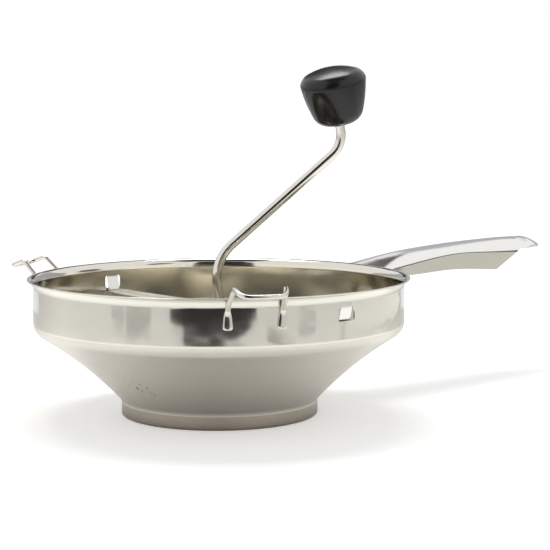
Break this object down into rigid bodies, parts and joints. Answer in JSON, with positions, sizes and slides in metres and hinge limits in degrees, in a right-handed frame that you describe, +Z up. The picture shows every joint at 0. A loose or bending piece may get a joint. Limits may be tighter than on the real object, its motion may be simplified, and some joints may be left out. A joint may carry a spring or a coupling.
{
  "type": "hand cranked tomato strainer",
  "caption": "Steel strainer bowl on a stepped foot with a channel handle, wire pot hooks, a sieve disc and a sprung crossbar; a bent crank with a black knob turns a scraper blade.",
  "frame": {"origin": "centre of the foot ring, on the surface that it stands on", "axes": "+Z up along the crank shaft, +X along the long handle away from the bowl, Y along the crossbar"},
  "size_m": [0.4226, 0.2576, 0.219],
  "materials": {
    "bowl_steel": "polished inside and out, with fine scratches",
    "handle_steel": "polished",
    "wire_steel": "polished wire",
    "disc_steel": "satin",
    "bar_steel": "satin",
    "rod_steel": "polished rod",
    "spring_steel": "bright drawn wire",
    "fitting_steel": "turned",
    "knob_plastic": "gloss black moulding"
  },
  "bodies": {
    "frame": {"bowl": "bowl_steel", "handle": "handle_steel", "left_pot_hook": "wire_steel", "right_pot_hook": "wire_steel", "sieve_disc": "disc_steel", "disc_bush": "fitting_steel", "spring": "spring_steel"},
    "crossbar": {"crossbar": "bar_steel", "crossbar_bush": "fitting_steel", "bush_washer": "fitting_steel", "spring_cap": "fitting_steel"},
    "spring_carrier": {"spring_seat": "fitting_steel"},
    "crank": {"crank_rod": "rod_steel", "blade_hub": "fitting_steel", "hub_pin": "fitting_steel", "scraper_blade": "disc_steel", "knob_stop_ring": "fitting_steel", "knob_washer": "fitting_steel", "knob_retainer": "fitting_steel"},
    "knob": {"knob_body": "knob_plastic", "knob_cap": "knob_plastic"}
  },
  "joints": [
    {"name": "crossbar_press", "type": "slide", "parent": "frame", "child": "crossbar", "axis": [0, 0, -1], "range_m": [0, 0.004], "stiffness_N_per_m": 1500, "springref_m": -0.01, "deforming": ["spring"]},
    {"name": "shaft_lift", "type": "slide", "parent": "frame", "child": "spring_carrier", "axis": [0, 0, 1], "range_m": [0, 0.002], "stiffness_N_per_m": 1500, "springref_m": -0.01, "deforming": ["spring"]},
    {"name": "crank_spin", "type": "hinge", "parent": "spring_carrier", "child": "crank", "pos_m": [0, 0, 0.05], "axis": [0, 0, 1], "continuous": true},
    {"name": "knob_spin", "type": "hinge", "parent": "crank", "child": "knob", "pos_m": [0.05671, -0.04974, 0.18233], "axis": [-0.2581, -0.0478, 0.9649], "continuous": true}
  ]
}
